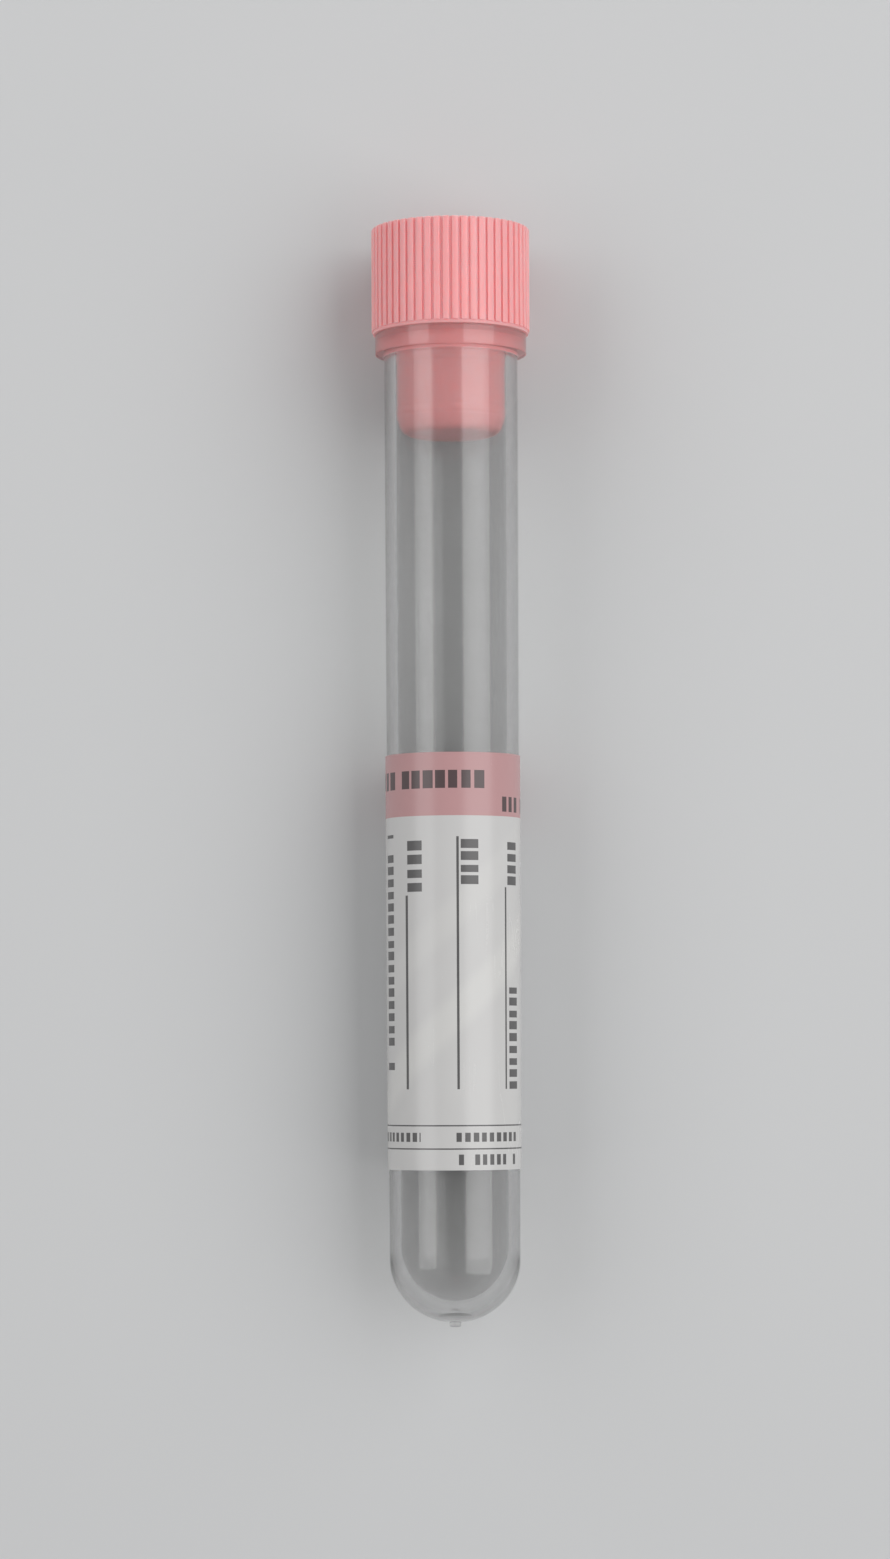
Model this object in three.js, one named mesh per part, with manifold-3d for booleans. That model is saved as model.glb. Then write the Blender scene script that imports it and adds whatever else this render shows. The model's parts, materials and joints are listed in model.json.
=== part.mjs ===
// Blood collection tube: a round-bottomed polypropylene test tube of 12 x 86 mm nominal size, closed by a
// pressed-in polyethylene stopper with a ribbed head, and wrapped by a paper label.
//
// Lengths are in millimetres and angles in degrees. Each piece is turned about the Y axis: the outside of
// the round end is at y = 0 and the mouth looks along +Y. Around the axis, angle 0 is +Z, where the middle
// of the label is. The last section lays the closed tube on its side, as it comes to rest on a bench.

import * as THREE from 'three';
import { mergeVertices } from 'three/addons/utils/BufferGeometryUtils.js';
import Module from 'manifold-3d';

// ---------------------------------------------------------------------------------- driving dimensions

// Tube. Its wall narrows evenly towards the round end, so that it leaves the mould's core.
const TUBE_LENGTH = 86;
const TUBE_DIAMETER = 11.7; // just under the rim
const TUBE_TAPER = 0.4; // how much narrower the tube is where its round end starts
const TUBE_WALL = 1;
const ROUND_END_DEPTH = 5.4; // a little flatter than half a ball
const ROUND_END_WALL = 1.6;
const GATE_MARK_DIAMETER = 1; // where the plastic entered the mould
const GATE_MARK_HEIGHT = 0.35;
const GATE_MARK_ROUNDING = 0.12;
const CORE_FLAT_DIAMETER = 2.4; // the core's tip is flat, and so is the middle of the bore's end

// Rim round the mouth.
const RIM_OVERHANG = 0.775; // beyond the tube's own outside
const RIM_THICKNESS = 1.8;
const RIM_ROUNDING = 0.1;
const RIM_ROOT_ROUNDING = 0.25;
const MOUTH_LEAD_IN = 0.35;

// Stopper head, which seats on the rim.
const HEAD_OVERHANG = 0.3; // of the ribs' crests beyond the rim
const HEAD_HEIGHT = 9.25;
const HEAD_WALL = 1.45; // behind the grooves
const HEAD_FLOOR = 1.5; // from the seat to the step inside the head
const HEAD_ROUNDING = 0.12;
const HOLLOW_LEAD_IN = 0.3;
const COLLAR_HEIGHT = 0.2; // the plain strip below the ribs
const RIB_COUNT = 54;
const RIB_DEPTH = 0.25;
const RIB_CREST_ROUNDING = 0.03; // how far a rib falls from its middle to its shoulders

// Stopper plug, which fills the tube's bore.
const PLUG_LENGTH = 8.9; // below the rim's top
const PLUG_WALL = 1.15;
const PLUG_END_WALL = 1.2;
const NOSE_LENGTH = 1.3;
const NOSE_INSET = 0.5; // how much smaller the radius is at the plug's end than at its waist
const NOSE_ROUNDING = 0.8;
const HOLLOW_ROUNDING = 0.4;
const BEAD_HEIGHT = 0.07; // of each sealing bead, above the plug's waist
const BEAD_WIDTH = 0.9;
const BEAD_ABOVE_NOSE = 0.5; // from the nose to the middle of the lower bead
const BEAD_BELOW_SEAT = 2; // from the seat to the middle of the upper bead
const PLUG_ROOT_FLARE = 0.45; // of the cone under the head, which fits the lead-in at the mouth
const BORE_CLEARANCE = 0.05; // between the beads and the bore
const SEAT_CLEARANCE = 0.05; // between the head and the rim

// Label, stuck round the tube with a window left open at the back.
const LABEL_FROM_ROUND_END = 13.2;
const LABEL_HEIGHT = 35.75;
const LABEL_WIDTH = 29.4; // along the curve
const LABEL_THICKNESS = 0.1;
const GLUE_THICKNESS = 0.02;

// Facets.
const SIDES = 60; // of each turned piece; one facet faces straight down
const ROUND_END_STEPS = 12;
const ROUNDING_STEPS = 3;

// ------------------------------------------------------------------------------- sizes that follow

const tubeRadius = TUBE_DIAMETER / 2;
const rimUnderside = TUBE_LENGTH - RIM_THICKNESS;
const rimRadius = tubeRadius + RIM_OVERHANG;
const crestRadius = rimRadius + HEAD_OVERHANG;
const grooveRadius = crestRadius - RIB_DEPTH;
const seat = TUBE_LENGTH + SEAT_CLEARANCE;
const headTop = TUBE_LENGTH + HEAD_HEIGHT;

/** Outer radius of the tube's straight wall at height y: a line from the round end's start to the rim. */
function outsideAt(y) {
  const share = (rimUnderside - y) / (rimUnderside - ROUND_END_DEPTH);
  return tubeRadius - (TUBE_TAPER / 2) * share;
}

/** Radius of the bore at height y. */
function boreAt(y) {
  return outsideAt(y) - TUBE_WALL;
}

// ---------------------------------------------------------------------------------------- geometry tools

/** Points [radius, y] through corners [radius, y, rounding]: straight between them, with an arc of the
 *  stated radius at each corner that has a rounding. */
function roundedOutline(corners) {
  const points = [];
  corners.forEach(([radius, y, rounding = 0], index) => {
    const corner = new THREE.Vector2(radius, y);
    if (rounding === 0) {
      points.push(corner);
      return;
    }
    const before = new THREE.Vector2(...corners[index - 1]).sub(corner).normalize();
    const after = new THREE.Vector2(...corners[index + 1]).sub(corner).normalize();
    const halfAngle = Math.acos(before.dot(after)) / 2;
    const middle = before.clone().add(after).normalize();
    const centre = corner.clone().addScaledVector(middle, rounding / Math.sin(halfAngle));
    const reach = rounding / Math.tan(halfAngle);
    const from = corner.clone().addScaledVector(before, reach).sub(centre).angle();
    const to = corner.clone().addScaledVector(after, reach).sub(centre).angle();
    const clockwise = before.cross(after) > 0;
    const arc = new THREE.EllipseCurve(
      centre.x, centre.y, rounding, rounding, from, to, clockwise);
    points.push(...arc.getPoints(ROUNDING_STEPS));
  });
  return points;
}

/** Points of a quarter ellipse about [0, centreY], from the axis outwards: it reaches the radius there and
 *  the depth below. An inner radius leaves out the stretch nearest the axis. */
function roundEnd(centreY, radius, depth, innerRadius = 0) {
  const points = [];
  const first = Math.asin(innerRadius / radius);
  for (let step = 0; step <= ROUND_END_STEPS; step += 1) {
    const angle = THREE.MathUtils.lerp(first, Math.PI / 2, step / ROUND_END_STEPS);
    points.push(new THREE.Vector2(radius * Math.sin(angle), centreY - depth * Math.cos(angle)));
  }
  points[0].x = innerRadius;
  return points;
}

/** A turned form with one of its flat facets facing down. */
function turned(points, sides = SIDES) {
  return new THREE.LatheGeometry(points, sides, Math.PI / sides);
}

/** An outline in the XZ plane raised along +Y from one height to another. */
function raised(shape, from, to) {
  const geometry = new THREE.ExtrudeGeometry(shape, { depth: to - from, bevelEnabled: false });
  return geometry.rotateX(-Math.PI / 2).translate(0, from, 0);
}

const wasm = await Module();
wasm.setup();

/** The geometry as a solid that can be joined and cut. */
function toSolid(geometry) {
  const bare = geometry.clone();
  bare.deleteAttribute('uv');
  bare.deleteAttribute('normal');
  const merged = mergeVertices(bare);
  const corners = merged.index.array;
  const kept = [];
  for (let at = 0; at < corners.length; at += 3) {
    const [a, b, c] = corners.slice(at, at + 3);
    if (a !== b && b !== c && c !== a) {
      kept.push(a, b, c);
    }
  }
  return new wasm.Manifold(new wasm.Mesh({
    numProp: 3,
    vertProperties: new Float32Array(merged.attributes.position.array),
    triVerts: new Uint32Array(kept),
  }));
}

/** A solid as a geometry that a mesh can show. */
function toGeometry(solid) {
  const mesh = solid.getMesh();
  const geometry = new THREE.BufferGeometry();
  geometry.setAttribute('position', new THREE.BufferAttribute(mesh.vertProperties, mesh.numProp));
  geometry.setIndex(new THREE.BufferAttribute(mesh.triVerts, 1));
  geometry.computeVertexNormals();
  return geometry;
}

// -------------------------------------------------------------------------------------------------- tube

/** One moulding: gate mark, round end, tapered wall, square-shouldered rim, lead-in at the mouth, and the
 *  bore with the small flat at its round end. */
function tubeGeometry() {
  const gateRadius = GATE_MARK_DIAMETER / 2;
  const boreEnd = boreAt(ROUND_END_DEPTH);
  const boreEndCentre = ROUND_END_WALL + boreEnd;
  const gateMark = roundedOutline([
    [0, -GATE_MARK_HEIGHT],
    [gateRadius, -GATE_MARK_HEIGHT, GATE_MARK_ROUNDING],
    [gateRadius, 0],
  ]).slice(0, -1);
  const outside = roundEnd(ROUND_END_DEPTH, outsideAt(ROUND_END_DEPTH), ROUND_END_DEPTH, gateRadius);
  const rim = roundedOutline([
    [outsideAt(ROUND_END_DEPTH), ROUND_END_DEPTH],
    [tubeRadius, rimUnderside, RIM_ROOT_ROUNDING],
    [rimRadius, rimUnderside, RIM_ROUNDING],
    [rimRadius, TUBE_LENGTH, RIM_ROUNDING],
    [boreAt(TUBE_LENGTH) + MOUTH_LEAD_IN, TUBE_LENGTH],
    [boreAt(TUBE_LENGTH - MOUTH_LEAD_IN), TUBE_LENGTH - MOUTH_LEAD_IN],
  ]).slice(1);
  const inside = roundEnd(
    boreEndCentre, boreAt(boreEndCentre), boreEnd, CORE_FLAT_DIAMETER / 2).reverse();
  const flat = new THREE.Vector2(0, inside.at(-1).y);
  return turned([...gateMark, ...outside, ...rim, ...inside, flat]);
}

// ----------------------------------------------------------------------------------------------- stopper

/** Radius of the plug's waist at height y, inside the beads that touch the bore. */
function waistAt(y) {
  return boreAt(y) - BORE_CLEARANCE - BEAD_HEIGHT;
}

/** Corners of one sealing bead, from below: it rises from the waist to the bore's clearance and falls
 *  back. */
function bead(middle) {
  const half = BEAD_WIDTH / 2;
  return [
    [waistAt(middle - half), middle - half],
    [waistAt(middle) + BEAD_HEIGHT, middle - half / 3],
    [waistAt(middle) + BEAD_HEIGHT, middle + half / 3],
    [waistAt(middle + half), middle + half],
  ];
}

/** Outline of the ribbed head, seen along the axis. One rib takes one pitch: a flat groove, steep flanks
 *  and a rounded crest. A groove is at angle 0. */
function ribbedShape() {
  const rib = [
    [0.15, grooveRadius],
    [0.2, crestRadius - RIB_CREST_ROUNDING],
    [0.35, crestRadius - RIB_CREST_ROUNDING / 4],
    [0.5, crestRadius],
    [0.65, crestRadius - RIB_CREST_ROUNDING / 4],
    [0.8, crestRadius - RIB_CREST_ROUNDING],
    [0.85, grooveRadius],
  ];
  const points = [];
  for (let pitch = 0; pitch < RIB_COUNT; pitch += 1) {
    for (const [share, radius] of rib) {
      const angle = ((pitch + share) / RIB_COUNT) * 2 * Math.PI - Math.PI / 2;
      points.push(new THREE.Vector2(radius * Math.cos(angle), radius * Math.sin(angle)));
    }
  }
  return new THREE.Shape(points);
}

/** One moulding, hollow and open at the top: ribbed head with a plain collar, beaded plug, tapered nose. */
function stopperGeometry() {
  const collarRadius = (crestRadius + grooveRadius) / 2;
  const collarTop = seat + COLLAR_HEIGHT;
  const plugEnd = TUBE_LENGTH - PLUG_LENGTH;
  const noseTop = plugEnd + NOSE_LENGTH;
  const insideHead = grooveRadius - HEAD_WALL;
  const headFloor = seat + HEAD_FLOOR;
  const plugFloor = plugEnd + PLUG_END_WALL;
  const buried = collarTop + HEAD_FLOOR / 4;

  const headEnvelope = toSolid(turned(roundedOutline([
    [0, collarTop],
    [crestRadius + RIB_DEPTH, collarTop],
    [crestRadius + RIB_DEPTH, headTop - HEAD_ROUNDING - RIB_DEPTH],
    [crestRadius - HEAD_ROUNDING, headTop],
    [0, headTop],
  ]), 2 * RIB_COUNT));
  const ribs = toSolid(raised(ribbedShape(), collarTop, headTop)).intersect(headEnvelope);

  const plug = toSolid(turned(roundedOutline([
    [0, plugEnd],
    [waistAt(plugEnd) - NOSE_INSET, plugEnd, NOSE_ROUNDING],
    [waistAt(noseTop), noseTop],
    ...bead(noseTop + BEAD_ABOVE_NOSE),
    ...bead(seat - BEAD_BELOW_SEAT),
    [waistAt(seat - PLUG_ROOT_FLARE), seat - PLUG_ROOT_FLARE],
    [waistAt(seat) + PLUG_ROOT_FLARE, seat],
    [collarRadius, seat],
    [collarRadius, buried],
    [0, buried],
  ])));

  const hollow = toSolid(turned(roundedOutline([
    [0, plugFloor],
    [waistAt(plugEnd) - NOSE_INSET - PLUG_WALL, plugFloor, HOLLOW_ROUNDING],
    [waistAt(noseTop) - PLUG_WALL, noseTop + PLUG_END_WALL],
    [waistAt(headFloor) - PLUG_WALL, headFloor],
    [insideHead, headFloor, HOLLOW_ROUNDING],
    [insideHead, headTop - HOLLOW_LEAD_IN],
    [insideHead + 2 * HOLLOW_LEAD_IN, headTop + HOLLOW_LEAD_IN],
    [0, headTop + HOLLOW_LEAD_IN],
  ])));

  return toGeometry(ribs.add(plug).subtract(hollow));
}

// ------------------------------------------------------------------------------------------------- label

/** A band of paper on the tube's tapered wall, with the window cut out of its back. */
function labelGeometry() {
  const low = LABEL_FROM_ROUND_END;
  const high = low + LABEL_HEIGHT;
  const outward = GLUE_THICKNESS + LABEL_THICKNESS;
  const corners = [
    [outsideAt(low) + GLUE_THICKNESS, low],
    [outsideAt(low) + outward, low],
    [outsideAt(high) + outward, high],
    [outsideAt(high) + GLUE_THICKNESS, high],
    [outsideAt(low) + GLUE_THICKNESS, low],
  ];
  const band = toSolid(turned(roundedOutline(corners)));

  const halfWindow = Math.PI - LABEL_WIDTH / 2 / outsideAt((low + high) / 2);
  const reach = TUBE_DIAMETER;
  const wedge = new THREE.Shape([
    new THREE.Vector2(0, 0),
    new THREE.Vector2(-reach * Math.sin(halfWindow), reach * Math.cos(halfWindow)),
    new THREE.Vector2(reach * Math.sin(halfWindow), reach * Math.cos(halfWindow)),
  ]);
  return toGeometry(band.subtract(toSolid(raised(wedge, low - 1, high + 1))));
}

// ---------------------------------------------------------------------------------------------- assembly

const pieces = [
  {
    name: 'tube',
    geometry: tubeGeometry(),
    material: new THREE.MeshStandardMaterial({
      color: 0xc9ccce, roughness: 0.25, metalness: 0, transparent: true, opacity: 0.4,
    }),
  },
  {
    name: 'stopper',
    geometry: stopperGeometry(),
    material: new THREE.MeshStandardMaterial({ color: 0xe69a9a, roughness: 0.5, metalness: 0 }),
  },
  {
    name: 'label',
    geometry: labelGeometry(),
    material: new THREE.MeshStandardMaterial({ color: 0xe4e2df, roughness: 0.45, metalness: 0 }),
  },
];

const closedTube = new THREE.Group();
for (const { name, geometry, material } of pieces) {
  const mesh = new THREE.Mesh(geometry, material);
  mesh.name = name;
  closedTube.add(mesh);
}

/** Lowest z of a named piece after the whole tube is turned about X by an angle. */
function lowestPoint(name, angle) {
  const { array } = closedTube.getObjectByName(name).geometry.attributes.position;
  let lowest = Infinity;
  for (let at = 0; at < array.length; at += 3) {
    lowest = Math.min(lowest, array[at + 1] * Math.sin(angle) + array[at + 2] * Math.cos(angle));
  }
  return lowest;
}

/** Angle at which the stopper's ribs and the tube's round end touch the same level surface. The ribs are
 *  the lower of the two until the stopper is lifted this far, so halving the interval finds it. */
function restingAngle() {
  let low = 0;
  let high = Math.PI / 12;
  for (let halving = 0; halving < 40; halving += 1) {
    const middle = (low + high) / 2;
    if (lowestPoint('stopper', middle) < lowestPoint('tube', middle)) {
      low = middle;
    } else {
      high = middle;
    }
  }
  return (low + high) / 2;
}

closedTube.rotation.x = restingAngle();
const box = new THREE.Box3().setFromObject(closedTube, true);
closedTube.position.set(-(box.min.x + box.max.x) / 2, -(box.min.y + box.max.y) / 2, -box.min.z);

export default closedTube;
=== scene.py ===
import json
import math

import bpy
import numpy as np
from mathutils import Matrix, Vector


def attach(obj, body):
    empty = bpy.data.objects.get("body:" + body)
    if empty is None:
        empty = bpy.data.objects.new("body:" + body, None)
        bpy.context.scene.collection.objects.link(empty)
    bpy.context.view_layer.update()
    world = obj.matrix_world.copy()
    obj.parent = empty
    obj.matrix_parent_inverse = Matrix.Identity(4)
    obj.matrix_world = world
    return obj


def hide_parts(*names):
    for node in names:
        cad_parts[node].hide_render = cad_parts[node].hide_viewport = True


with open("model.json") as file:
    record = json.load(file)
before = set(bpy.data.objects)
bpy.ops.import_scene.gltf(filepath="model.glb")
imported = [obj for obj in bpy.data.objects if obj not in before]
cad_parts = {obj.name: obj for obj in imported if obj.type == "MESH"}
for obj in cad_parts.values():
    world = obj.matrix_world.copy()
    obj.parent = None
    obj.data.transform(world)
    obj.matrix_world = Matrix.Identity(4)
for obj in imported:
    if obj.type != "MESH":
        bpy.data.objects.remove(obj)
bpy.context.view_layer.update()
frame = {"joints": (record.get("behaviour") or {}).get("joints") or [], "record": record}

# ----------------------------------------------------------------------------------------------------- tube
# One injection moulding of clear polypropylene, which is never quite clear: a thin straight wall that
# narrows towards its round end, a gate mark at the pole where the plastic went in, and a square rim round
# the mouth.

MM = 0.001  # every size below is in mm, unless it says otherwise
TUBE_LENGTH = 86.0
TUBE_DIAMETER = 11.7  # just under the rim
TUBE_TAPER = 0.4  # how much narrower it is where its round end starts
TUBE_WALL = 1.0
ROUND_END_DEPTH = 5.4
ROUND_END_WALL = 1.6
GATE_MARK_DIAMETER = 1.0
GATE_MARK_HEIGHT = 0.35
GATE_MARK_ROUNDING = 0.12
CORE_FLAT_DIAMETER = 2.4  # the core's tip is flat, and so is the middle of the bore's end
RIM_OVERHANG = 0.775
RIM_THICKNESS = 1.8
RIM_ROUNDING = 0.1
RIM_ROOT_ROUNDING = 0.25
MOUTH_LEAD_IN = 0.35
MOUTH_ROUNDING = 0.08
LEAD_IN_ROUNDING = 0.12

tube_radius = TUBE_DIAMETER / 2
rim_radius = tube_radius + RIM_OVERHANG
rim_underside = TUBE_LENGTH - RIM_THICKNESS

# The closed tube lies on its side, with the middle of its label up. Its axis has the direction of the
# stopper's joint, and starts at the outside of the round end, which is worked out from the mount under the
# rim.
RIM_MOUNT_RADIUS = 6.3  # from the axis to the point that the mount names
mounts = {mount["name"]: mount for mount in frame["record"]["mounts"]}
joint_axis = np.array(frame["joints"][0]["axis"])
ALONG = joint_axis / np.linalg.norm(joint_axis)
ACROSS = np.array([1.0, 0.0, 0.0])
FRONT = np.cross(ACROSS, ALONG)
ROUND_END = (
    np.array(mounts["rim_underside"]["pos_m"]) - MM * RIM_MOUNT_RADIUS * FRONT - MM * rim_underside * ALONG
)


def lay(radius, angle, along):
    """Points in metres from millimetres: radius out from the tube's axis, angle in radians round it from the
    side that faces up, and distance along it from the round end. The result's last axis holds x, y, z."""
    radius, angle, along = np.broadcast_arrays(radius, angle, along)
    return ROUND_END + MM * (
        (radius * np.sin(angle))[..., None] * ACROSS
        + (radius * np.cos(angle))[..., None] * FRONT
        + along[..., None] * ALONG
    )


SOLID_SIDES = 60  # flats of the turned solids in the frame
INSIDE_FLATS = math.cos(math.pi / SOLID_SIDES)  # a true circle that touches those flats from inside
TUBE_COLUMNS = 240
ROUND_END_STEPS = 40
ROUNDING_STEPS = 8
EDGE_HOLD = 0.04  # from a rounding to the ring that keeps the plain wall beside it shading plain


def outside_at(along):
    """Outer radius of the tube's straight wall: a line from the round end's start to the rim."""
    return tube_radius - TUBE_TAPER / 2 * (rim_underside - along) / (rim_underside - ROUND_END_DEPTH)


def bore_at(along):
    """Radius of the tube's bore: the outer radius less the wall."""
    return outside_at(along) - TUBE_WALL


def rounded_outline(corners):
    """A profile through corners (radius, along, rounding). Each corner with a rounding becomes an arc of
    that radius, tangent to both neighbours, with a ring held close before and after it. The other corners
    stay points."""
    points = []
    for index, (radius, along, rounding) in enumerate(corners):
        corner = np.array([radius, along])
        if rounding == 0:
            points.append(corner[None])
            continue
        before = np.array(corners[index - 1][:2]) - corner
        after = np.array(corners[index + 1][:2]) - corner
        before /= np.linalg.norm(before)
        after /= np.linalg.norm(after)
        half_angle = math.acos(float(before @ after)) / 2
        reach = rounding / math.tan(half_angle)
        middle = (before + after) / np.linalg.norm(before + after)
        centre = corner + middle * rounding / math.sin(half_angle)
        start = corner + before * reach - centre
        end = corner + after * reach - centre
        share = np.linspace(0.0, 1.0, ROUNDING_STEPS + 1)[:, None]
        sweep = math.pi - 2 * half_angle
        arc = (np.sin((1 - share) * sweep) * start + np.sin(share * sweep) * end) / math.sin(sweep)
        points.append(corner + before * (reach + EDGE_HOLD))
        points.append(centre + arc)
        points.append(corner + after * (reach + EDGE_HOLD))
    return np.vstack(points)


def round_end(centre, radius, depth, inner_radius):
    """A profile on a quarter ellipse about a point on the axis, outwards from an inner radius: radius times
    the sine of an angle, and depth times its cosine below the centre."""
    angle = np.linspace(math.asin(inner_radius / radius), math.pi / 2, ROUND_END_STEPS + 1)
    return np.stack([radius * np.sin(angle), centre - depth * np.cos(angle)], axis=-1)


def joined(ring, following):
    """Faces between two rings of vertex numbers. Where one ring has a whole number of times more columns,
    each face takes that many of its steps."""
    columns = min(len(ring), len(following))
    sides = []
    for numbers in (ring, following):
        step = len(numbers) // columns
        sides.append(numbers[(np.arange(columns)[:, None] * step + np.arange(step + 1)) % len(numbers)])
    return np.hstack([sides[0], sides[1][:, ::-1]])


def turned_mesh(name, first_pole, bands, last_pole):
    """A closed surface turned about the tube's axis, from one pole on it to the other. Each band gives the
    angles of its columns, the radius of its rings, rows by columns or by one, and their places along the
    axis. A point is the radius out from the axis at the angle."""
    points = [lay(0.0, 0.0, np.array([first_pole, last_pole]))]
    rings = []
    used = 2
    for angles, radius, along in bands:
        grid = lay(radius, angles[None, :], along[:, None])
        numbers = used + np.arange(grid[..., 0].size).reshape(grid.shape[:2])
        points.append(grid.reshape(-1, 3))
        rings.extend(numbers)
        used += numbers.size
    faces = [face for ring, following in zip(rings, rings[1:]) for face in joined(ring, following).tolist()]
    faces += np.stack([np.zeros_like(rings[0]), np.roll(rings[0], -1), rings[0]], axis=-1).tolist()
    faces += np.stack([rings[-1], np.roll(rings[-1], -1), np.ones_like(rings[-1])], axis=-1).tolist()
    mesh = bpy.data.meshes.new(name)
    mesh.from_pydata(np.vstack(points).tolist(), [], faces)
    return mesh


def show(mesh, sharp_degrees):
    """Puts a mesh in the scene as a piece of the same name. Its faces shade smoothly into each other, except
    over edges sharper than the angle."""
    mesh.shade_smooth()
    mesh.set_sharp_from_angle(angle=math.radians(sharp_degrees))
    piece = bpy.data.objects.new(mesh.name, mesh)
    bpy.context.collection.objects.link(piece)
    return piece


gate_radius = GATE_MARK_DIAMETER / 2
core_flat_radius = CORE_FLAT_DIAMETER / 2
lead_in_end = TUBE_LENGTH - MOUTH_LEAD_IN
bore_end_depth = bore_at(ROUND_END_DEPTH)
bore_end_centre = ROUND_END_WALL + bore_end_depth
bore_end = round_end(bore_end_centre, bore_at(bore_end_centre), bore_end_depth, core_flat_radius)
bore_bottom = bore_end[0, 1]
tube_profile = np.vstack([
    rounded_outline([
        (0.0, -GATE_MARK_HEIGHT, 0.0),
        (gate_radius, -GATE_MARK_HEIGHT, GATE_MARK_ROUNDING),
        (gate_radius, 0.0, 0.0),
    ])[:-1],
    round_end(ROUND_END_DEPTH, outside_at(ROUND_END_DEPTH), ROUND_END_DEPTH, gate_radius),
    rounded_outline([
        (outside_at(ROUND_END_DEPTH), ROUND_END_DEPTH, 0.0),
        (tube_radius, rim_underside, RIM_ROOT_ROUNDING),
        (rim_radius, rim_underside, RIM_ROUNDING),
        (rim_radius, TUBE_LENGTH, RIM_ROUNDING),
        (bore_at(TUBE_LENGTH) + MOUTH_LEAD_IN, TUBE_LENGTH, MOUTH_ROUNDING),
        (bore_at(lead_in_end), lead_in_end, LEAD_IN_ROUNDING),
        (bore_at(bore_end_centre), bore_end_centre, 0.0),
    ])[1:-1],
    bore_end[::-1],
    [(core_flat_radius - EDGE_HOLD, bore_bottom)],
])
tube_angles = np.linspace(0.0, 2 * math.pi, TUBE_COLUMNS, endpoint=False)
tube_band = (tube_angles, tube_profile[1:, :1] * INSIDE_FLATS, tube_profile[1:, 1])
tube = show(turned_mesh("tube_moulding", -GATE_MARK_HEIGHT, [tube_band], bore_bottom), sharp_degrees=50)

THIN_HAZE = (0.61, 0.61, 0.605, 1.0)  # tint of the plastic where it is clearest
THICK_HAZE = (0.70, 0.70, 0.70, 1.0)  # where it is milkiest
LAMP_SHARE = (0.79, 0.79, 0.785, 1.0)  # of a lamp's light, what each face of the wall lets through
TUBE_CLEARNESS = 0.965
TUBE_ROUGHNESS = 0.07
STREAK_ROUGHNESS = 0.05  # added along flow streaks
SCUFF_ROUGHNESS = 0.05  # added on scuffs
STREAK_SHARE = 0.6  # of the flow streaks, beside the clouds
FLOW_HEIGHT = 0.02
STREAK_STRETCH = 0.03  # scale along the tube, next to 1 across it
SCUFF_STRETCH = 0.18
SCUFF_TURN = 0.5  # radians, so that the noise of the scuffs doesn't line up with the others'
HAIRLINE = 0.008  # half a scuff's width, as a height of its noise
SCUFFS_START = 0.5  # height of the clouds where scuffs start to show
SCUFFS_FULL = 0.68


def feed(tree, node, **inputs):
    """Links or sets a node's inputs. Each argument names one, with an underscore for a space, or in0, in1
    and so on for its place in the list, and gives either a socket to link or a value."""
    for key, value in inputs.items():
        place = int(key[2:]) if key.startswith("in") and key[2:].isdigit() else key.replace("_", " ")
        if isinstance(value, bpy.types.NodeSocket):
            tree.links.new(value, node.inputs[place])
        else:
            node.inputs[place].default_value = value


def wire(tree, node_type, settings=None, **inputs):
    """The outputs of a new node, with its own properties in settings and its inputs fed."""
    node = tree.nodes.new(node_type)
    for key, value in (settings or {}).items():
        setattr(node, key, value)
    feed(tree, node, **inputs)
    return node.outputs


def compute(tree, operation, *values):
    """What a Math node makes of sockets or plain numbers."""
    inputs = {f"in{place}": value for place, value in enumerate(values)}
    return wire(tree, "ShaderNodeMath", {"operation": operation}, **inputs)["Value"]


def ramp(tree, value, start, end, before=0.0, beyond=1.0, shape="LINEAR"):
    """A Map Range node's answer: before up to the start, beyond from the end on, and a ramp between them."""
    return wire(
        tree, "ShaderNodeMapRange", {"interpolation_type": shape}, Value=value, From_Min=start, From_Max=end,
        To_Min=before, To_Max=beyond,
    )["Result"]


def mixed(tree, share, under, over, blend_type="MIX"):
    """The colour under where the share is 0, and over it where the share is 1."""
    settings = {"data_type": "RGBA", "blend_type": blend_type}
    return wire(tree, "ShaderNodeMix", settings, in0=share, in6=under, in7=over)[2]


def noise(tree, place, scale, detail, roughness, distortion=0.0):
    """A noise field's height, from 0 to 1 and mostly near a half."""
    return wire(
        tree, "ShaderNodeTexNoise", Vector=place, Scale=scale, Detail=detail, Roughness=roughness,
        Distortion=distortion,
    )["Fac"]


def new_group(name, inputs, outputs):
    """A shader node group that takes a Vector and the named floats, and puts out the named floats: its tree,
    what it takes, and its output node."""
    tree = bpy.data.node_groups.new(name, "ShaderNodeTree")
    tree.interface.new_socket("Vector", in_out="INPUT", socket_type="NodeSocketVector")
    for in_out, socket_names in (("INPUT", inputs), ("OUTPUT", outputs)):
        for socket_name in socket_names:
            tree.interface.new_socket(socket_name, in_out=in_out, socket_type="NodeSocketFloat")
    return tree, tree.nodes.new("NodeGroupInput").outputs, tree.nodes.new("NodeGroupOutput")


def new_material(name):
    """A material with nodes, its tree, its Principled shader, and its texture coordinates."""
    material = bpy.data.materials.new(name)
    material.use_nodes = True
    tree = material.node_tree
    return material, tree, tree.nodes["Principled BSDF"], wire(tree, "ShaderNodeTexCoord")


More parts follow.
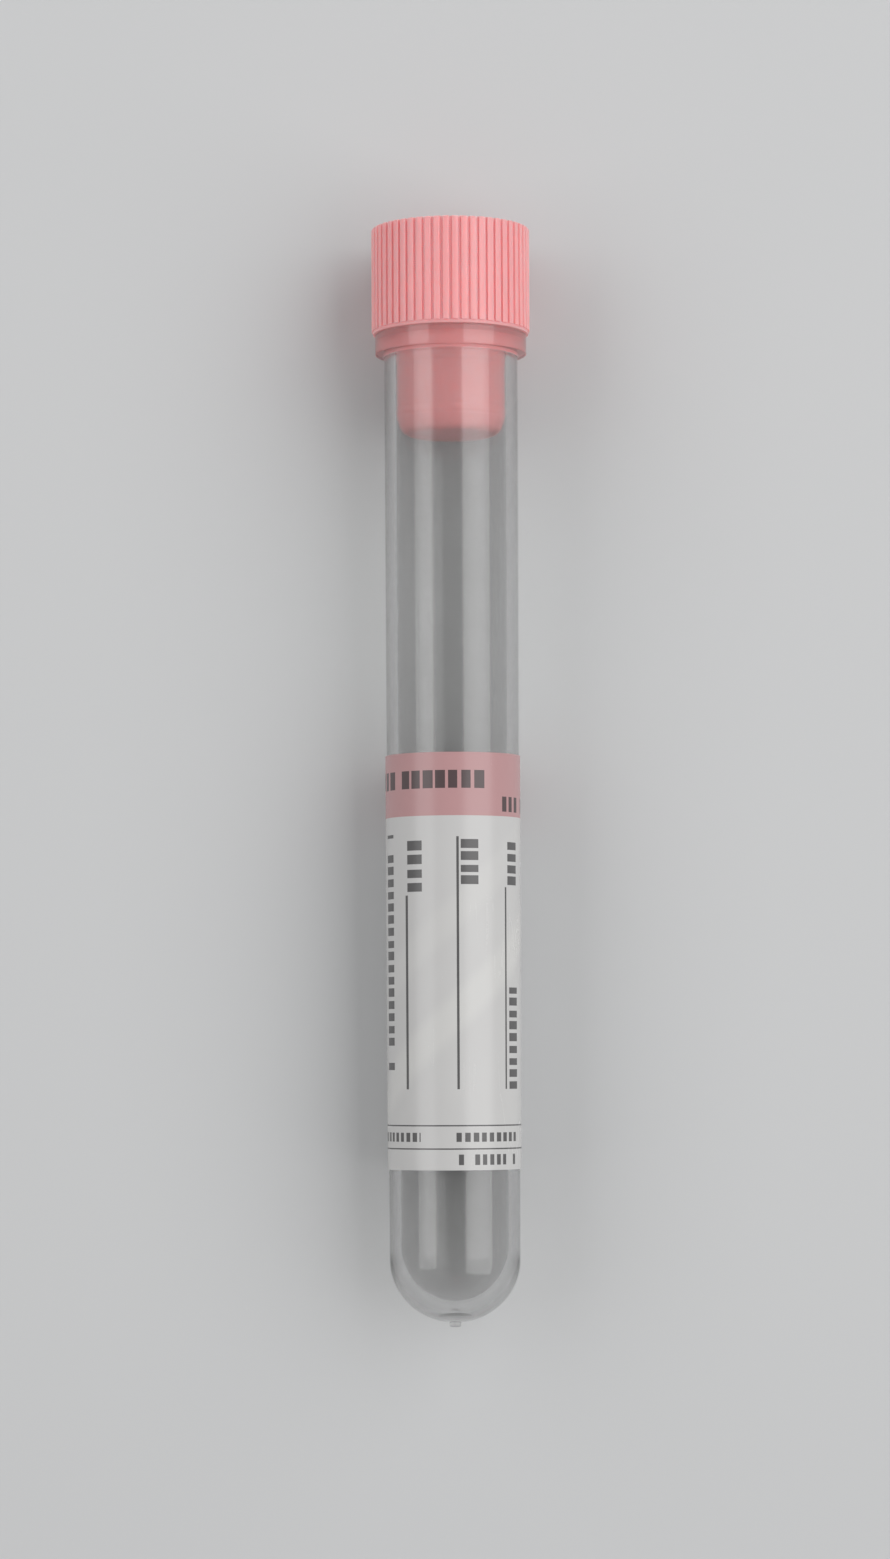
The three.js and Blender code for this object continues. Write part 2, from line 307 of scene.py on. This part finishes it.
# What each surface shows up close: clouds, the grain that the mould leaves, flow streaks along the axis, and
# patches of hairline scuffs from handling, where a noise field crosses its middle height.
skin, takes, skin_end = new_group(
    "moulded_skin",
    ("Cloud Scale", "Grain Scale", "Streak Scale", "Scuff Scale"),
    ("Clouds", "Grain", "Streaks", "Scuffs"),
)
clouds = noise(skin, takes["Vector"], takes["Cloud Scale"], detail=3.0, roughness=0.55)
grain = noise(skin, takes["Vector"], takes["Grain Scale"], detail=2.0, roughness=0.6)
drawn_out = wire(skin, "ShaderNodeMapping", Vector=takes["Vector"], Scale=(1.0, STREAK_STRETCH, 1.0))
streaks = noise(skin, drawn_out["Vector"], takes["Streak Scale"], detail=2.0, roughness=0.5)
askew = wire(
    skin, "ShaderNodeMapping", Vector=takes["Vector"], Rotation=(0.0, 0.0, SCUFF_TURN),
    Scale=(1.0, SCUFF_STRETCH, 1.0),
)
scuff_field = noise(skin, askew["Vector"], takes["Scuff Scale"], detail=4.0, roughness=0.6, distortion=0.4)
off_line = compute(skin, "ABSOLUTE", compute(skin, "SUBTRACT", scuff_field, 0.5))
hairlines = ramp(skin, off_line, 0.0, HAIRLINE, before=1.0, beyond=0.0)
patches = ramp(skin, clouds, SCUFFS_START, SCUFFS_FULL)
scuffs = compute(skin, "MULTIPLY", hairlines, patches)
feed(skin, skin_end, Clouds=clouds, Grain=grain, Streaks=streaks, Scuffs=scuffs)

tube_plastic, tree, shader, coordinates = new_material("clear_polypropylene")
marks = wire(
    tree, "ShaderNodeGroup", {"node_tree": skin}, Vector=coordinates["Object"], Cloud_Scale=110.0,
    Grain_Scale=3500.0, Streak_Scale=700.0, Scuff_Scale=160.0,
)
flow = compute(tree, "MULTIPLY_ADD", marks["Streaks"], STREAK_SHARE, marks["Clouds"])
scuffed = compute(tree, "MULTIPLY_ADD", marks["Scuffs"], SCUFF_ROUGHNESS, TUBE_ROUGHNESS)
feed(
    tree, shader, Base_Color=mixed(tree, flow, THIN_HAZE, THICK_HAZE),
    Roughness=compute(tree, "MULTIPLY_ADD", marks["Streaks"], STREAK_ROUGHNESS, scuffed),
    Normal=wire(tree, "ShaderNodeBump", Strength=0.3, Distance=MM * FLOW_HEIGHT, Height=flow)["Normal"],
    IOR=1.49, Transmission_Weight=TUBE_CLEARNESS,
)
# The wall bends what is seen through it, but lets the lamps' light straight in.
let_lamps_in = wire(
    tree, "ShaderNodeMixShader", Fac=wire(tree, "ShaderNodeLightPath")["Is Shadow Ray"],
    in1=shader.outputs["BSDF"], in2=wire(tree, "ShaderNodeBsdfTransparent", Color=LAMP_SHARE)["BSDF"],
)
feed(tree, tree.nodes["Material Output"], Surface=let_lamps_in["Shader"])
tube.data.materials.append(tube_plastic)
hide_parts("tube")
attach(tube, "tube_with_label")

# -------------------------------------------------------------------------------------------------- stopper
# One moulding of soft salmon-pink polyethylene, pressed into the tube by hand: a tall head with 54 ribs to
# grip, open at the top, that seats on the rim, and a hollow plug with two sealing beads and a tapered nose.

HEAD_OVERHANG = 0.3  # of the ribs' crests beyond the rim
HEAD_HEIGHT = 9.25
HEAD_WALL = 1.45  # behind the grooves
HEAD_FLOOR = 1.5  # from the solid's seat to the step inside the head
HEAD_ROUNDING = 0.12
HOLLOW_LEAD_IN = 0.3
COLLAR_HEIGHT = 0.2  # the plain strip below the ribs
COLLAR_ROUNDING = 0.03
SEAT_CLEARANCE = 0.05  # that the frame's solid leaves between the head and the rim
SEAT_SINK = 0.03  # by which the soft head is squeezed onto the rim
RIB_COUNT = 54
RIB_DEPTH = 0.25
RIB_CREST_ROUNDING = 0.03  # how far a rib falls from its middle to its shoulders
GROOVE_HALF = 0.15  # share of a pitch, from the groove's middle to its flank
FLANK_END = 0.2  # share of a pitch, from the groove's middle to the crest
PLUG_LENGTH = 8.9  # below the rim's top
PLUG_WALL = 1.15
PLUG_END_WALL = 1.2
NOSE_LENGTH = 1.3
NOSE_INSET = 0.5  # how much smaller the radius is at the plug's end than at its waist
NOSE_ROUNDING = 0.8
HOLLOW_ROUNDING = 0.4
BEAD_HEIGHT = 0.07  # of each sealing bead, above the plug's waist
BEAD_WIDTH = 0.9
BEAD_ABOVE_NOSE = 0.5  # from the nose to the middle of the lower bead
BEAD_BELOW_SEAT = 2.6  # from the solid's seat to the middle of the upper bead
BORE_CLEARANCE = 0.05  # between the beads and the bore
ROOT_SQUEEZE = 0.015  # by which the plug's root is squeezed into the bore, over the height of the rim
ROOT_SHOULDER = 0.25  # below the rim, over which the root narrows to the waist
ROOT_ROUNDING = 0.1
LIP_ROUNDING = 0.08
LIP_END_ROUNDING = 0.1
STEP_ROUNDING = 0.15
INNER_NOSE_ROUNDING = 0.3
PIP_RADIUS = 0.5  # of the small pip that moulding leaves on the hollow's floor
PIP_SPREAD = 0.1  # how much wider it is at its foot
PIP_HEIGHT = 0.2
PIP_ROUNDING = 0.06
PIP_FOOT_ROUNDING = 0.1
BEAD_STEPS = 10
FLANK_STEPS = 6
RIB_STEPS = 6
TOP_STEPS = 6
RIB_HOLD = 0.03  # from a rib's end to the ring that keeps it shading plain

crest_radius = rim_radius + HEAD_OVERHANG
groove_radius = crest_radius - RIB_DEPTH
collar_radius = (crest_radius + groove_radius) / 2
head_top = TUBE_LENGTH + HEAD_HEIGHT
seat = TUBE_LENGTH - SEAT_SINK
solid_seat = TUBE_LENGTH + SEAT_CLEARANCE
collar_top = solid_seat + COLLAR_HEIGHT
plug_end = TUBE_LENGTH - PLUG_LENGTH
nose_top = plug_end + NOSE_LENGTH


def waist_at(along):
    """Radius of the plug between its beads: the bore's, less the clearance and the beads' height."""
    return bore_at(along) - BORE_CLEARANCE - BEAD_HEIGHT


def bead(middle):
    """A sealing bead on the plug: the waist's radius plus a raised cosine, BEAD_HEIGHT high in the middle
    and level with the waist half a BEAD_WIDTH to each side."""
    share = np.linspace(-1.0, 1.0, BEAD_STEPS + 1)
    along = middle + share * BEAD_WIDTH / 2
    return np.stack([waist_at(along) + BEAD_HEIGHT * (1 + np.cos(math.pi * share)) / 2, along], axis=-1)


def rib_radius(angle):
    """Radius of the ribbed outline: the groove's radius, plus the rib's depth times a smooth step up the
    flank, less a crown that falls as the square of the distance from the crest's middle."""
    pitch = (angle * RIB_COUNT / (2 * math.pi)) % 1.0
    from_groove = np.minimum(pitch, 1.0 - pitch)
    climb = np.clip((from_groove - GROOVE_HALF) / (FLANK_END - GROOVE_HALF), 0.0, 1.0)
    climb = climb * climb * (3 - 2 * climb)
    off_crest = (0.5 - from_groove) / (0.5 - FLANK_END)
    crown = RIB_CREST_ROUNDING * np.clip(off_crest, 0.0, 1.0) ** 2
    return groove_radius + climb * (RIB_DEPTH - crown)


def head_top_radius(along):
    """Radius of the turned envelope that rounds the ribs' top ends: a quarter circle of HEAD_ROUNDING."""
    rise = np.clip((along - (head_top - HEAD_ROUNDING)) / HEAD_ROUNDING, 0.0, 1.0)
    return crest_radius - HEAD_ROUNDING * (1 - np.sqrt(1 - rise * rise))


# The columns of one pitch, as shares of it, stand close on the flanks. The plain surfaces take one column to
# every half pitch.
flank = np.linspace(GROOVE_HALF, FLANK_END, FLANK_STEPS + 1)
half_pitch = np.concatenate([[0.0, 0.07, 0.13], flank, [0.24, 0.31, 0.4]])
one_pitch = np.concatenate([half_pitch, [0.5], 1.0 - half_pitch[:0:-1]])
rib_angles = (np.arange(RIB_COUNT)[:, None] + one_pitch).reshape(-1) * 2 * math.pi / RIB_COUNT
plain_angles = rib_angles[::len(half_pitch)]

rim_foot = rim_underside - ROOT_SHOULDER
root_end = seat - MOUTH_LEAD_IN
seat_edge = (bore_at(seat) + MOUTH_LEAD_IN, seat, 0.0)
plug_part = np.vstack([
    rounded_outline([
        (0.0, plug_end, 0.0),
        (waist_at(plug_end) - NOSE_INSET, plug_end, NOSE_ROUNDING),
        (waist_at(nose_top), nose_top, 0.0),
    ])[1:],
    bead(nose_top + BEAD_ABOVE_NOSE),
    bead(solid_seat - BEAD_BELOW_SEAT),
    [(waist_at(rim_foot), rim_foot)],
    rounded_outline([
        (bore_at(rim_underside) + ROOT_SQUEEZE, rim_underside, 0.0),
        (bore_at(root_end) + ROOT_SQUEEZE, root_end, ROOT_ROUNDING),
        seat_edge,
    ]),
])
collar_part = rounded_outline([
    seat_edge,
    (collar_radius, seat, COLLAR_ROUNDING),
    (collar_radius, collar_top, 0.0),
])[1:]

rib_rows = np.concatenate([
    [collar_top],
    np.linspace(collar_top + RIB_HOLD, head_top - HEAD_ROUNDING - RIB_HOLD, RIB_STEPS + 1),
    head_top - HEAD_ROUNDING * (1 - np.sin(np.linspace(0.0, math.pi / 2, TOP_STEPS + 1))),
])
ribbed = np.minimum(rib_radius(rib_angles)[None, :], head_top_radius(rib_rows)[:, None])

top_edge = groove_radius - HEAD_ROUNDING
hollow_radius = groove_radius - HEAD_WALL
head_floor = solid_seat + HEAD_FLOOR
plug_floor = plug_end + PLUG_END_WALL
pip_top = plug_floor + PIP_HEIGHT
hollow_part = rounded_outline([
    (top_edge, head_top, 0.0),
    (hollow_radius + HOLLOW_LEAD_IN, head_top, LIP_ROUNDING),
    (hollow_radius, head_top - HOLLOW_LEAD_IN, LIP_END_ROUNDING),
    (hollow_radius, head_floor, HOLLOW_ROUNDING),
    (waist_at(head_floor) - PLUG_WALL, head_floor, STEP_ROUNDING),
    (waist_at(nose_top) - PLUG_WALL, nose_top + PLUG_END_WALL, INNER_NOSE_ROUNDING),
    (waist_at(plug_end) - NOSE_INSET - PLUG_WALL, plug_floor, HOLLOW_ROUNDING),
    (PIP_RADIUS + PIP_SPREAD, plug_floor, PIP_FOOT_ROUNDING),
    (PIP_RADIUS, pip_top, PIP_ROUNDING),
    (0.0, pip_top, 0.0),
])[:-1]

stopper_bands = [
    (plain_angles, plug_part[:, :1] * INSIDE_FLATS, plug_part[:, 1]),
    (rib_angles, collar_part[:, :1] * INSIDE_FLATS, collar_part[:, 1]),
    (rib_angles, ribbed, rib_rows),
    (rib_angles, hollow_part[:1, :1] * INSIDE_FLATS, hollow_part[:1, 1]),
    (plain_angles, hollow_part[1:, :1] * INSIDE_FLATS, hollow_part[1:, 1]),
]
stopper = show(turned_mesh("stopper_moulding", plug_end, stopper_bands, pip_top), sharp_degrees=40)

# One moulding of one pink, painted as three: the plug and hollow get a darker copy (painted shade), the
# grooves a paler copy (painted light against their shade).
BODY_PINK = (0.905, 0.36, 0.365, 1.0)  # of the plug and the hollow
GROOVE_PINK = (0.975, 0.53, 0.545, 1.0)  # paler, to make up for the shade between two flanks
CREST_PINK = (0.945, 0.415, 0.425, 1.0)
GRIP_REACH = (-0.1, -0.05)  # from the grooves' radius, where the plug's pink turns into theirs
CREST_REACH = (0.02, 0.11)  # from the grooves' radius, where their pink turns into the crests'
CLOUD_TINT = 0.10
STOPPER_ROUGHNESS = 0.34
CLOUD_ROUGHNESS = 0.16  # added where the plastic is cloudiest
RUB_ROUGHNESS = 0.15  # added on the crests' scuffs
CLOUD_SWELL = 1.5  # height of the clouds, next to 1 for the grain
GRAIN_HEIGHT = 0.03

stopper_plastic, tree, shader, coordinates = new_material("pink_polyethylene")
marks = wire(
    tree, "ShaderNodeGroup", {"node_tree": skin}, Vector=coordinates["Object"], Cloud_Scale=260.0,
    Grain_Scale=7000.0, Streak_Scale=1500.0, Scuff_Scale=420.0,
)
# Grooves, crests and the plain parts are told apart by their distance from the tube's axis.
from_axis = wire(
    tree, "ShaderNodeMapping", {"vector_type": "TEXTURE"}, Vector=coordinates["Object"],
    Location=tuple(ROUND_END), Rotation=(math.asin(ALONG[2]), 0.0, 0.0),
)
outwards = wire(
    tree, "ShaderNodeVectorMath", {"operation": "MULTIPLY"}, in0=from_axis["Vector"], in1=(1.0, 0.0, 1.0)
)
radius_out = wire(tree, "ShaderNodeVectorMath", {"operation": "LENGTH"}, in0=outwards["Vector"])["Value"]
on_grip, on_crest = (
    ramp(tree, radius_out, MM * (groove_radius + start), MM * (groove_radius + end))
    for start, end in (GRIP_REACH, CREST_REACH)
)
# Painted light and shade: the crests' pink, the grooves' paler painted-light pink and the plug's darker
# painted-shade pink, chosen by distance from the axis.
pink = mixed(tree, on_crest, mixed(tree, on_grip, BODY_PINK, GROOVE_PINK), CREST_PINK)
rubs = compute(tree, "MULTIPLY", marks["Scuffs"], on_crest)
cloudiness = compute(tree, "MULTIPLY_ADD", marks["Clouds"], CLOUD_ROUGHNESS, STOPPER_ROUGHNESS)
swell = compute(tree, "MULTIPLY_ADD", marks["Clouds"], CLOUD_SWELL, marks["Grain"])
feed(
    tree, shader, Base_Color=mixed(tree, CLOUD_TINT, pink, marks["Clouds"], "MULTIPLY"),
    Roughness=compute(tree, "MULTIPLY_ADD", rubs, RUB_ROUGHNESS, cloudiness),
    Normal=wire(tree, "ShaderNodeBump", Strength=0.35, Distance=MM * GRAIN_HEIGHT, Height=swell)["Normal"],
    IOR=1.51, Subsurface_Weight=0.85, Subsurface_Radius=(1.0, 0.45, 0.4), Subsurface_Scale=MM,
)
stopper.data.materials.append(stopper_plastic)
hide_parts("stopper")
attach(stopper, "stopper")

# ---------------------------------------------------------------------------------------------------- label
# A coated paper label, stuck round the lower half of the tube with its ends apart at the back, so that a
# window shows the blood. White to write on, with a pink band across its top.

LABEL_FROM_ROUND_END = 13.2
LABEL_HEIGHT = 35.75
LABEL_WIDTH = 29.4  # along the curve
LABEL_THICKNESS = 0.1
GLUE_THICKNESS = 0.02
LABEL_COLUMNS = 200
LABEL_ROWS = 60

# Half the angle that the label takes up round the tube, in radians.
half_round = LABEL_WIDTH / 2 / outside_at(LABEL_FROM_ROUND_END + LABEL_HEIGHT / 2)
label_angle = np.linspace(-half_round, half_round, LABEL_COLUMNS + 1)[None, :]
label_along = LABEL_FROM_ROUND_END + np.linspace(0.0, LABEL_HEIGHT, LABEL_ROWS + 1)[:, None]
back_radius = outside_at(label_along) + GLUE_THICKNESS
face_points = lay((back_radius + LABEL_THICKNESS) * INSIDE_FLATS, label_angle, label_along)
back_points = lay(back_radius * INSIDE_FLATS, label_angle, label_along)
in_front = np.arange(face_points[..., 0].size).reshape(face_points.shape[:2])
behind = in_front + in_front.size


def strips(lines, following):
    """Quads between one or more lines of vertex numbers and as many that follow them: a pair of neighbours
    on a line, and the pair beside it on the other."""
    corners = [lines[..., :-1], lines[..., 1:], following[..., 1:], following[..., :-1]]
    return np.stack(corners, axis=-1).reshape(-1, 4)


face_quads = strips(in_front[:-1], in_front[1:])
label_quads = np.vstack([
    face_quads,
    strips(behind[1:], behind[:-1]),
    strips(behind[0], in_front[0]),
    strips(in_front[-1], behind[-1]),
    strips(in_front[:, 0], behind[:, 0]),
    strips(behind[:, -1], in_front[:, -1]),
])
label_points = np.vstack([face_points, back_points]).reshape(-1, 3)
label_mesh = bpy.data.meshes.new("label_sheet")
label_mesh.from_pydata(label_points.tolist(), [], label_quads.tolist())
label = show(label_mesh, sharp_degrees=40)

# The sheet's flat map: the printed face in the left half, and its back, with the cut edges, in the right.
vertex = np.empty(4 * len(label_quads), dtype=np.int32)
label_mesh.loops.foreach_get("vertex_index", vertex)
row_up, column = np.divmod(vertex % in_front.size, LABEL_COLUMNS + 1)
half_start = np.where(np.arange(vertex.size) < 4 * len(face_quads), 0.0, 0.5)
flat = np.stack([column / LABEL_COLUMNS / 2 + half_start, row_up / LABEL_ROWS], axis=-1)
label_mesh.uv_layers.new(name="sheet").uv.foreach_set("vector", flat.astype(np.float32).ravel())

THIN_PAPER = (0.56, 0.552, 0.55, 1.0)  # the paper's white wanders softly between these two
THICK_PAPER = (0.60, 0.596, 0.586, 1.0)
# The sheens are painted highlights: paler slanting bands painted into the paper's white.
PAINTED_SHEEN_WHITE = (0.665, 0.66, 0.64, 1.0)
BAND_PINK = (0.50, 0.285, 0.29, 1.0)
INK = (0.035, 0.033, 0.035, 1.0)
INK_COVER = 0.88  # share of the paper's colour that the ink hides
BAND_LOW = 30.3  # from the label's lower edge
PAINTED_SHEENS = ((13.2, 1.7, 0.55), (21.9, 1.5, 0.3))  # where each crosses the middle line, half width, strength
PAINTED_SHEEN_SLOPE = 0.94
PAINTED_SHEEN_FADE = (0.5, 1.6)  # half widths from its middle where it starts to fade, and where it ends
PAPER_ROUGHNESS = 0.20
FIBRE_ROUGHNESS = 0.10  # added by the paper's fibres
CREASE_ROUGHNESS = 0.06  # added on scuffs
FIBRE_HEIGHT = 0.02
BLOCK_NARROWING = 0.22  # share that a block may lose of its width by chance
SEED_STRIDE = 7.31  # from one seed's chances to the next seed's

# Each line of print is a row of plain blocks, and each ruled line is one block, longer than the line. Rows
# across the label start from its middle line, and rows up it start from its lower edge: (start, end, low
# side, high side, pitch, filled share, share left out, seed).
RULED = (40.0, 1.0, 0.0, 0.0)
PRINT_ACROSS = (
    (-12.2, -5.6, 32.65, 34.2, 1.10, 0.82, 0.0, 3.0),
    (-4.85, 2.9, 32.65, 34.2, 1.11, 0.84, 0.0, 4.0),
    (4.6, 11.0, 30.7, 32.0, 0.86, 0.74, 0.16, 6.0),
    (-9.4, 9.4, 3.74, 3.86, *RULED),
    (-8.8, -3.0, 2.42, 3.2, 0.71, 0.70, 0.12, 37.0),
    (0.15, 6.8, 2.42, 3.2, 0.74, 0.72, 0.10, 23.0),
    (-9.4, 9.4, 1.76, 1.88, *RULED),
    (0.35, 6.6, 0.45, 1.35, 0.70, 0.70, 0.10, 31.0),
)
PRINT_UP = (
    (7.5, 28.8, -7.55, -6.15, 1.05, 0.74, 0.14, 7.0),
    (23.8, 28.5, -4.25, -2.75, 1.18, 0.76, 0.0, 11.0),
    (6.9, 23.5, -4.47, -4.20, *RULED),
    (24.4, 28.5, 0.62, 2.15, 1.03, 0.76, 0.0, 13.0),
    (6.9, 28.5, 0.25, 0.46, *RULED),
    (24.4, 28.4, 5.25, 6.70, 1.01, 0.76, 0.0, 17.0),
    (6.9, 24.2, 4.90, 5.10, *RULED),
    (6.9, 15.6, 5.45, 6.85, 1.02, 0.72, 0.12, 19.0),
)
ROW_INPUTS = ("Start", "End", "Low", "High", "Pitch", "Filled", "Left Out", "Seed")

blocks, takes, blocks_end = new_group("row_of_blocks", ROW_INPUTS, ("Ink",))
place = wire(blocks, "ShaderNodeSeparateXYZ", Vector=takes["Vector"])
from_start = compute(blocks, "SUBTRACT", place["X"], takes["Start"])
in_pitches = compute(blocks, "DIVIDE", from_start, takes["Pitch"])
block = compute(blocks, "FLOOR", in_pitches)
within = compute(blocks, "FRACT", in_pitches)
chance = wire(
    blocks, "ShaderNodeTexWhiteNoise", {"noise_dimensions": "1D"},
    W=compute(blocks, "MULTIPLY_ADD", takes["Seed"], SEED_STRIDE, block),
)["Value"]
narrowing = compute(blocks, "MULTIPLY_ADD", chance, -BLOCK_NARROWING, 1.0)
width = compute(blocks, "MULTIPLY", takes["Filled"], narrowing)
ink = compute(blocks, "LESS_THAN", within, width)
for operation, value, limit in (
    ("GREATER_THAN", chance, takes["Left Out"]),
    ("GREATER_THAN", place["X"], takes["Start"]),
    ("LESS_THAN", place["X"], takes["End"]),
    ("GREATER_THAN", place["Y"], takes["Low"]),
    ("LESS_THAN", place["Y"], takes["High"]),
):
    ink = compute(blocks, "MULTIPLY", ink, compute(blocks, operation, value, limit))
feed(blocks, blocks_end, Ink=ink)

label_paper, tree, shader, coordinates = new_material("coated_paper")
on_sheet = wire(
    tree, "ShaderNodeMapping", Vector=coordinates["UV"], Location=(-LABEL_WIDTH / 2, 0.0, 0.0),
    Scale=(2 * LABEL_WIDTH, LABEL_HEIGHT, 1.0),
)["Vector"]
sheet_axes = wire(tree, "ShaderNodeSeparateXYZ", Vector=on_sheet)
across, up = sheet_axes["X"], sheet_axes["Y"]
on_turned_sheet = wire(tree, "ShaderNodeCombineXYZ", X=up, Y=across)["Vector"]
ink = 0.0
for sheet, rows in ((on_sheet, PRINT_ACROSS), (on_turned_sheet, PRINT_UP)):
    for row in rows:
        sizes = dict(zip(ROW_INPUTS, row))
        printed = wire(tree, "ShaderNodeGroup", {"node_tree": blocks}, Vector=sheet, **sizes)
        ink = compute(tree, "MAXIMUM", ink, printed["Ink"])

marks = wire(
    tree, "ShaderNodeGroup", {"node_tree": skin}, Vector=coordinates["Object"], Cloud_Scale=90.0,
    Grain_Scale=5000.0, Streak_Scale=500.0, Scuff_Scale=150.0,
)
on_face = compute(tree, "LESS_THAN", across, LABEL_WIDTH / 2)
paper = mixed(tree, marks["Clouds"], THIN_PAPER, THICK_PAPER)
fade_start, fade_end = PAINTED_SHEEN_FADE
# Painted sheens: paler slanting bands of painted highlight, mixed into the paper's white on the printed
# face.
slant = compute(tree, "MULTIPLY_ADD", across, -PAINTED_SHEEN_SLOPE, up)
for crossing, half_width, strength in PAINTED_SHEENS:
    from_painted_sheen = compute(tree, "ABSOLUTE", compute(tree, "SUBTRACT", slant, crossing))
    painted_sheen = ramp(
        tree, from_painted_sheen, half_width * fade_start, half_width * fade_end, before=strength, beyond=0.0,
        shape="SMOOTHSTEP",
    )
    paper = mixed(tree, compute(tree, "MULTIPLY", painted_sheen, on_face), paper, PAINTED_SHEEN_WHITE)
on_band = compute(tree, "MULTIPLY", compute(tree, "GREATER_THAN", up, BAND_LOW), on_face)
with_band = mixed(tree, on_band, paper, BAND_PINK)
fibres = noise(tree, on_sheet, scale=6.0, detail=4.0, roughness=0.65)
fibrous = compute(tree, "MULTIPLY_ADD", fibres, FIBRE_ROUGHNESS, PAPER_ROUGHNESS)
feed(
    tree, shader, Base_Color=mixed(tree, compute(tree, "MULTIPLY", ink, INK_COVER), with_band, INK),
    Roughness=compute(tree, "MULTIPLY_ADD", marks["Scuffs"], CREASE_ROUGHNESS, fibrous),
    Normal=wire(tree, "ShaderNodeBump", Strength=0.25, Distance=MM * FIBRE_HEIGHT, Height=fibres)["Normal"],
    IOR=1.5,
)
label.data.materials.append(label_paper)
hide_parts("label")
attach(label, "tube_with_label")

# --------------------------------------------------------------------------------------------------- studio
# A pale matt table that turns into an even grey backdrop, two long strip lights over the tube, one on each
# side of the camera, and a soft fill from all round. The camera looks down from over the tube's lower third.

TABLE_HALF = 3.0  # m
TABLE_GREY = (0.60, 0.605, 0.61, 1.0)
BACKDROP_LEVEL = 0.56  # what the far table and all behind it look like
BACKDROP_GREY = (BACKDROP_LEVEL, BACKDROP_LEVEL, BACKDROP_LEVEL, 1.0)
BACKDROP_START = 0.15  # m from the tube, where the table starts to turn into it
BACKDROP_END = 0.75  # m, where it is all backdrop
BACKDROP_TOP = 0.6  # sine of the height above the table where it has faded into the fill
FILL_STRENGTH = 0.3
STRIP_DISTANCE = 0.7  # m from the tube to each strip
STRIP_HIGH_END = 0.9  # m along the tube from its middle, far beyond the stopper
STRIPS = {  # name: (first and last direction in degrees from straight up, low end in m, radiance)
    "strip_left": (-66.0, -33.0, -0.23, 1.8),
    "strip_right": (19.0, 68.0, -0.36, 2.05),
}
CAMERA_HEIGHT = 370.0  # above the tube's axis
CAMERA_OVER = 22.0  # along the axis
CAMERA_AIM = 46.96  # along the axis
CAMERA_SIDE = -0.68  # across the tube, of both the eye and what it aims at
CAMERA_ROLL = 0.273  # degrees
CAMERA_LENS = 98.4
CAMERA_NEAR = 0.01  # m, the nearest that it sees


def seen_rays(tree):
    """1 for a ray that the camera, a reflection or a look through the tube sends, and 0 for the light that
    falls on the object."""
    rays = wire(tree, "ShaderNodeLightPath")
    bounced = compute(tree, "MAXIMUM", rays["Is Glossy Ray"], rays["Is Transmission Ray"])
    return compute(tree, "MAXIMUM", rays["Is Camera Ray"], bounced)


floor_corners = TABLE_HALF * np.array([(-1, -1, 0), (1, -1, 0), (1, 1, 0), (-1, 1, 0)])
floor_mesh = bpy.data.meshes.new("table_top")
floor_mesh.from_pydata(floor_corners.tolist(), [], [(0, 1, 2, 3)])
floor = bpy.data.objects.new("table_top", floor_mesh)
bpy.context.collection.objects.link(floor)
table_paint, tree, shader, coordinates = new_material("table_paint")
feed(tree, shader, Base_Color=TABLE_GREY, Roughness=0.7, Specular_IOR_Level=0.2)
from_tube = wire(tree, "ShaderNodeVectorMath", {"operation": "LENGTH"}, in0=coordinates["Object"])["Value"]
far_off = ramp(tree, from_tube, BACKDROP_START, BACKDROP_END, shape="SMOOTHSTEP")
near_and_far = wire(
    tree, "ShaderNodeMixShader", in0=compute(tree, "MULTIPLY", far_off, seen_rays(tree)),
    in1=shader.outputs["BSDF"], in2=wire(tree, "ShaderNodeEmission", Color=BACKDROP_GREY)["Emission"],
)
feed(tree, tree.nodes["Material Output"], Surface=near_and_far["Shader"])
table_paint.cycles.emission_sampling = "NONE"  # the backdrop is seen, but lights nothing
floor_mesh.materials.append(table_paint)

world = bpy.data.worlds.new("studio_fill")
bpy.context.scene.world = world
world.use_nodes = True
tree = world.node_tree
direction = wire(tree, "ShaderNodeSeparateXYZ", Vector=wire(tree, "ShaderNodeTexCoord")["Generated"])
low_down = ramp(tree, direction["Z"], BACKDROP_TOP / 2, BACKDROP_TOP, 1.0, 0.0, shape="SMOOTHSTEP")
backdrop_share = compute(tree, "MULTIPLY", low_down, seen_rays(tree))
feed(
    tree, tree.nodes["Background"], Color=(1.0, 1.0, 1.0, 1.0),
    Strength=ramp(tree, backdrop_share, 0.0, 1.0, before=FILL_STRENGTH, beyond=BACKDROP_LEVEL),
)

for name, (first, last, low_end, radiance) in STRIPS.items():
    middle = math.radians((first + last) / 2)
    lamp = bpy.data.lights.new(name, "AREA")
    lamp.shape = "RECTANGLE"
    lamp.size = 2 * STRIP_DISTANCE * math.tan(math.radians(last - first) / 2)
    lamp.size_y = STRIP_HIGH_END - low_end
    lamp.energy = radiance * math.pi * lamp.size * lamp.size_y
    strip_light = bpy.data.objects.new(name, lamp)
    bpy.context.collection.objects.link(strip_light)
    strip_light.location = (
        STRIP_DISTANCE * math.sin(middle),
        (STRIP_HIGH_END + low_end) / 2,
        STRIP_DISTANCE * math.cos(middle),
    )
    strip_light.rotation_euler = (0.0, middle, 0.0)

camera_data = bpy.data.cameras.new("camera")
camera_data.lens = CAMERA_LENS
camera_data.clip_start = CAMERA_NEAR
camera = bpy.data.objects.new("camera", camera_data)
bpy.context.collection.objects.link(camera)
aside = MM * CAMERA_SIDE * ACROSS
eye = Vector(lay(CAMERA_HEIGHT, 0.0, CAMERA_OVER) + aside)
aim = Vector(lay(0.0, 0.0, CAMERA_AIM) + aside)
back = (eye - aim).normalized()
right = Vector(ALONG).cross(back).normalized()
upright = Matrix((right, back.cross(right), back)).transposed()
camera.matrix_world = (
    Matrix.Translation(eye) @ upright.to_4x4() @ Matrix.Rotation(math.radians(-CAMERA_ROLL), 4, "Z")
)
bpy.context.scene.camera = camera
bpy.context.scene.view_settings.view_transform = "Standard"
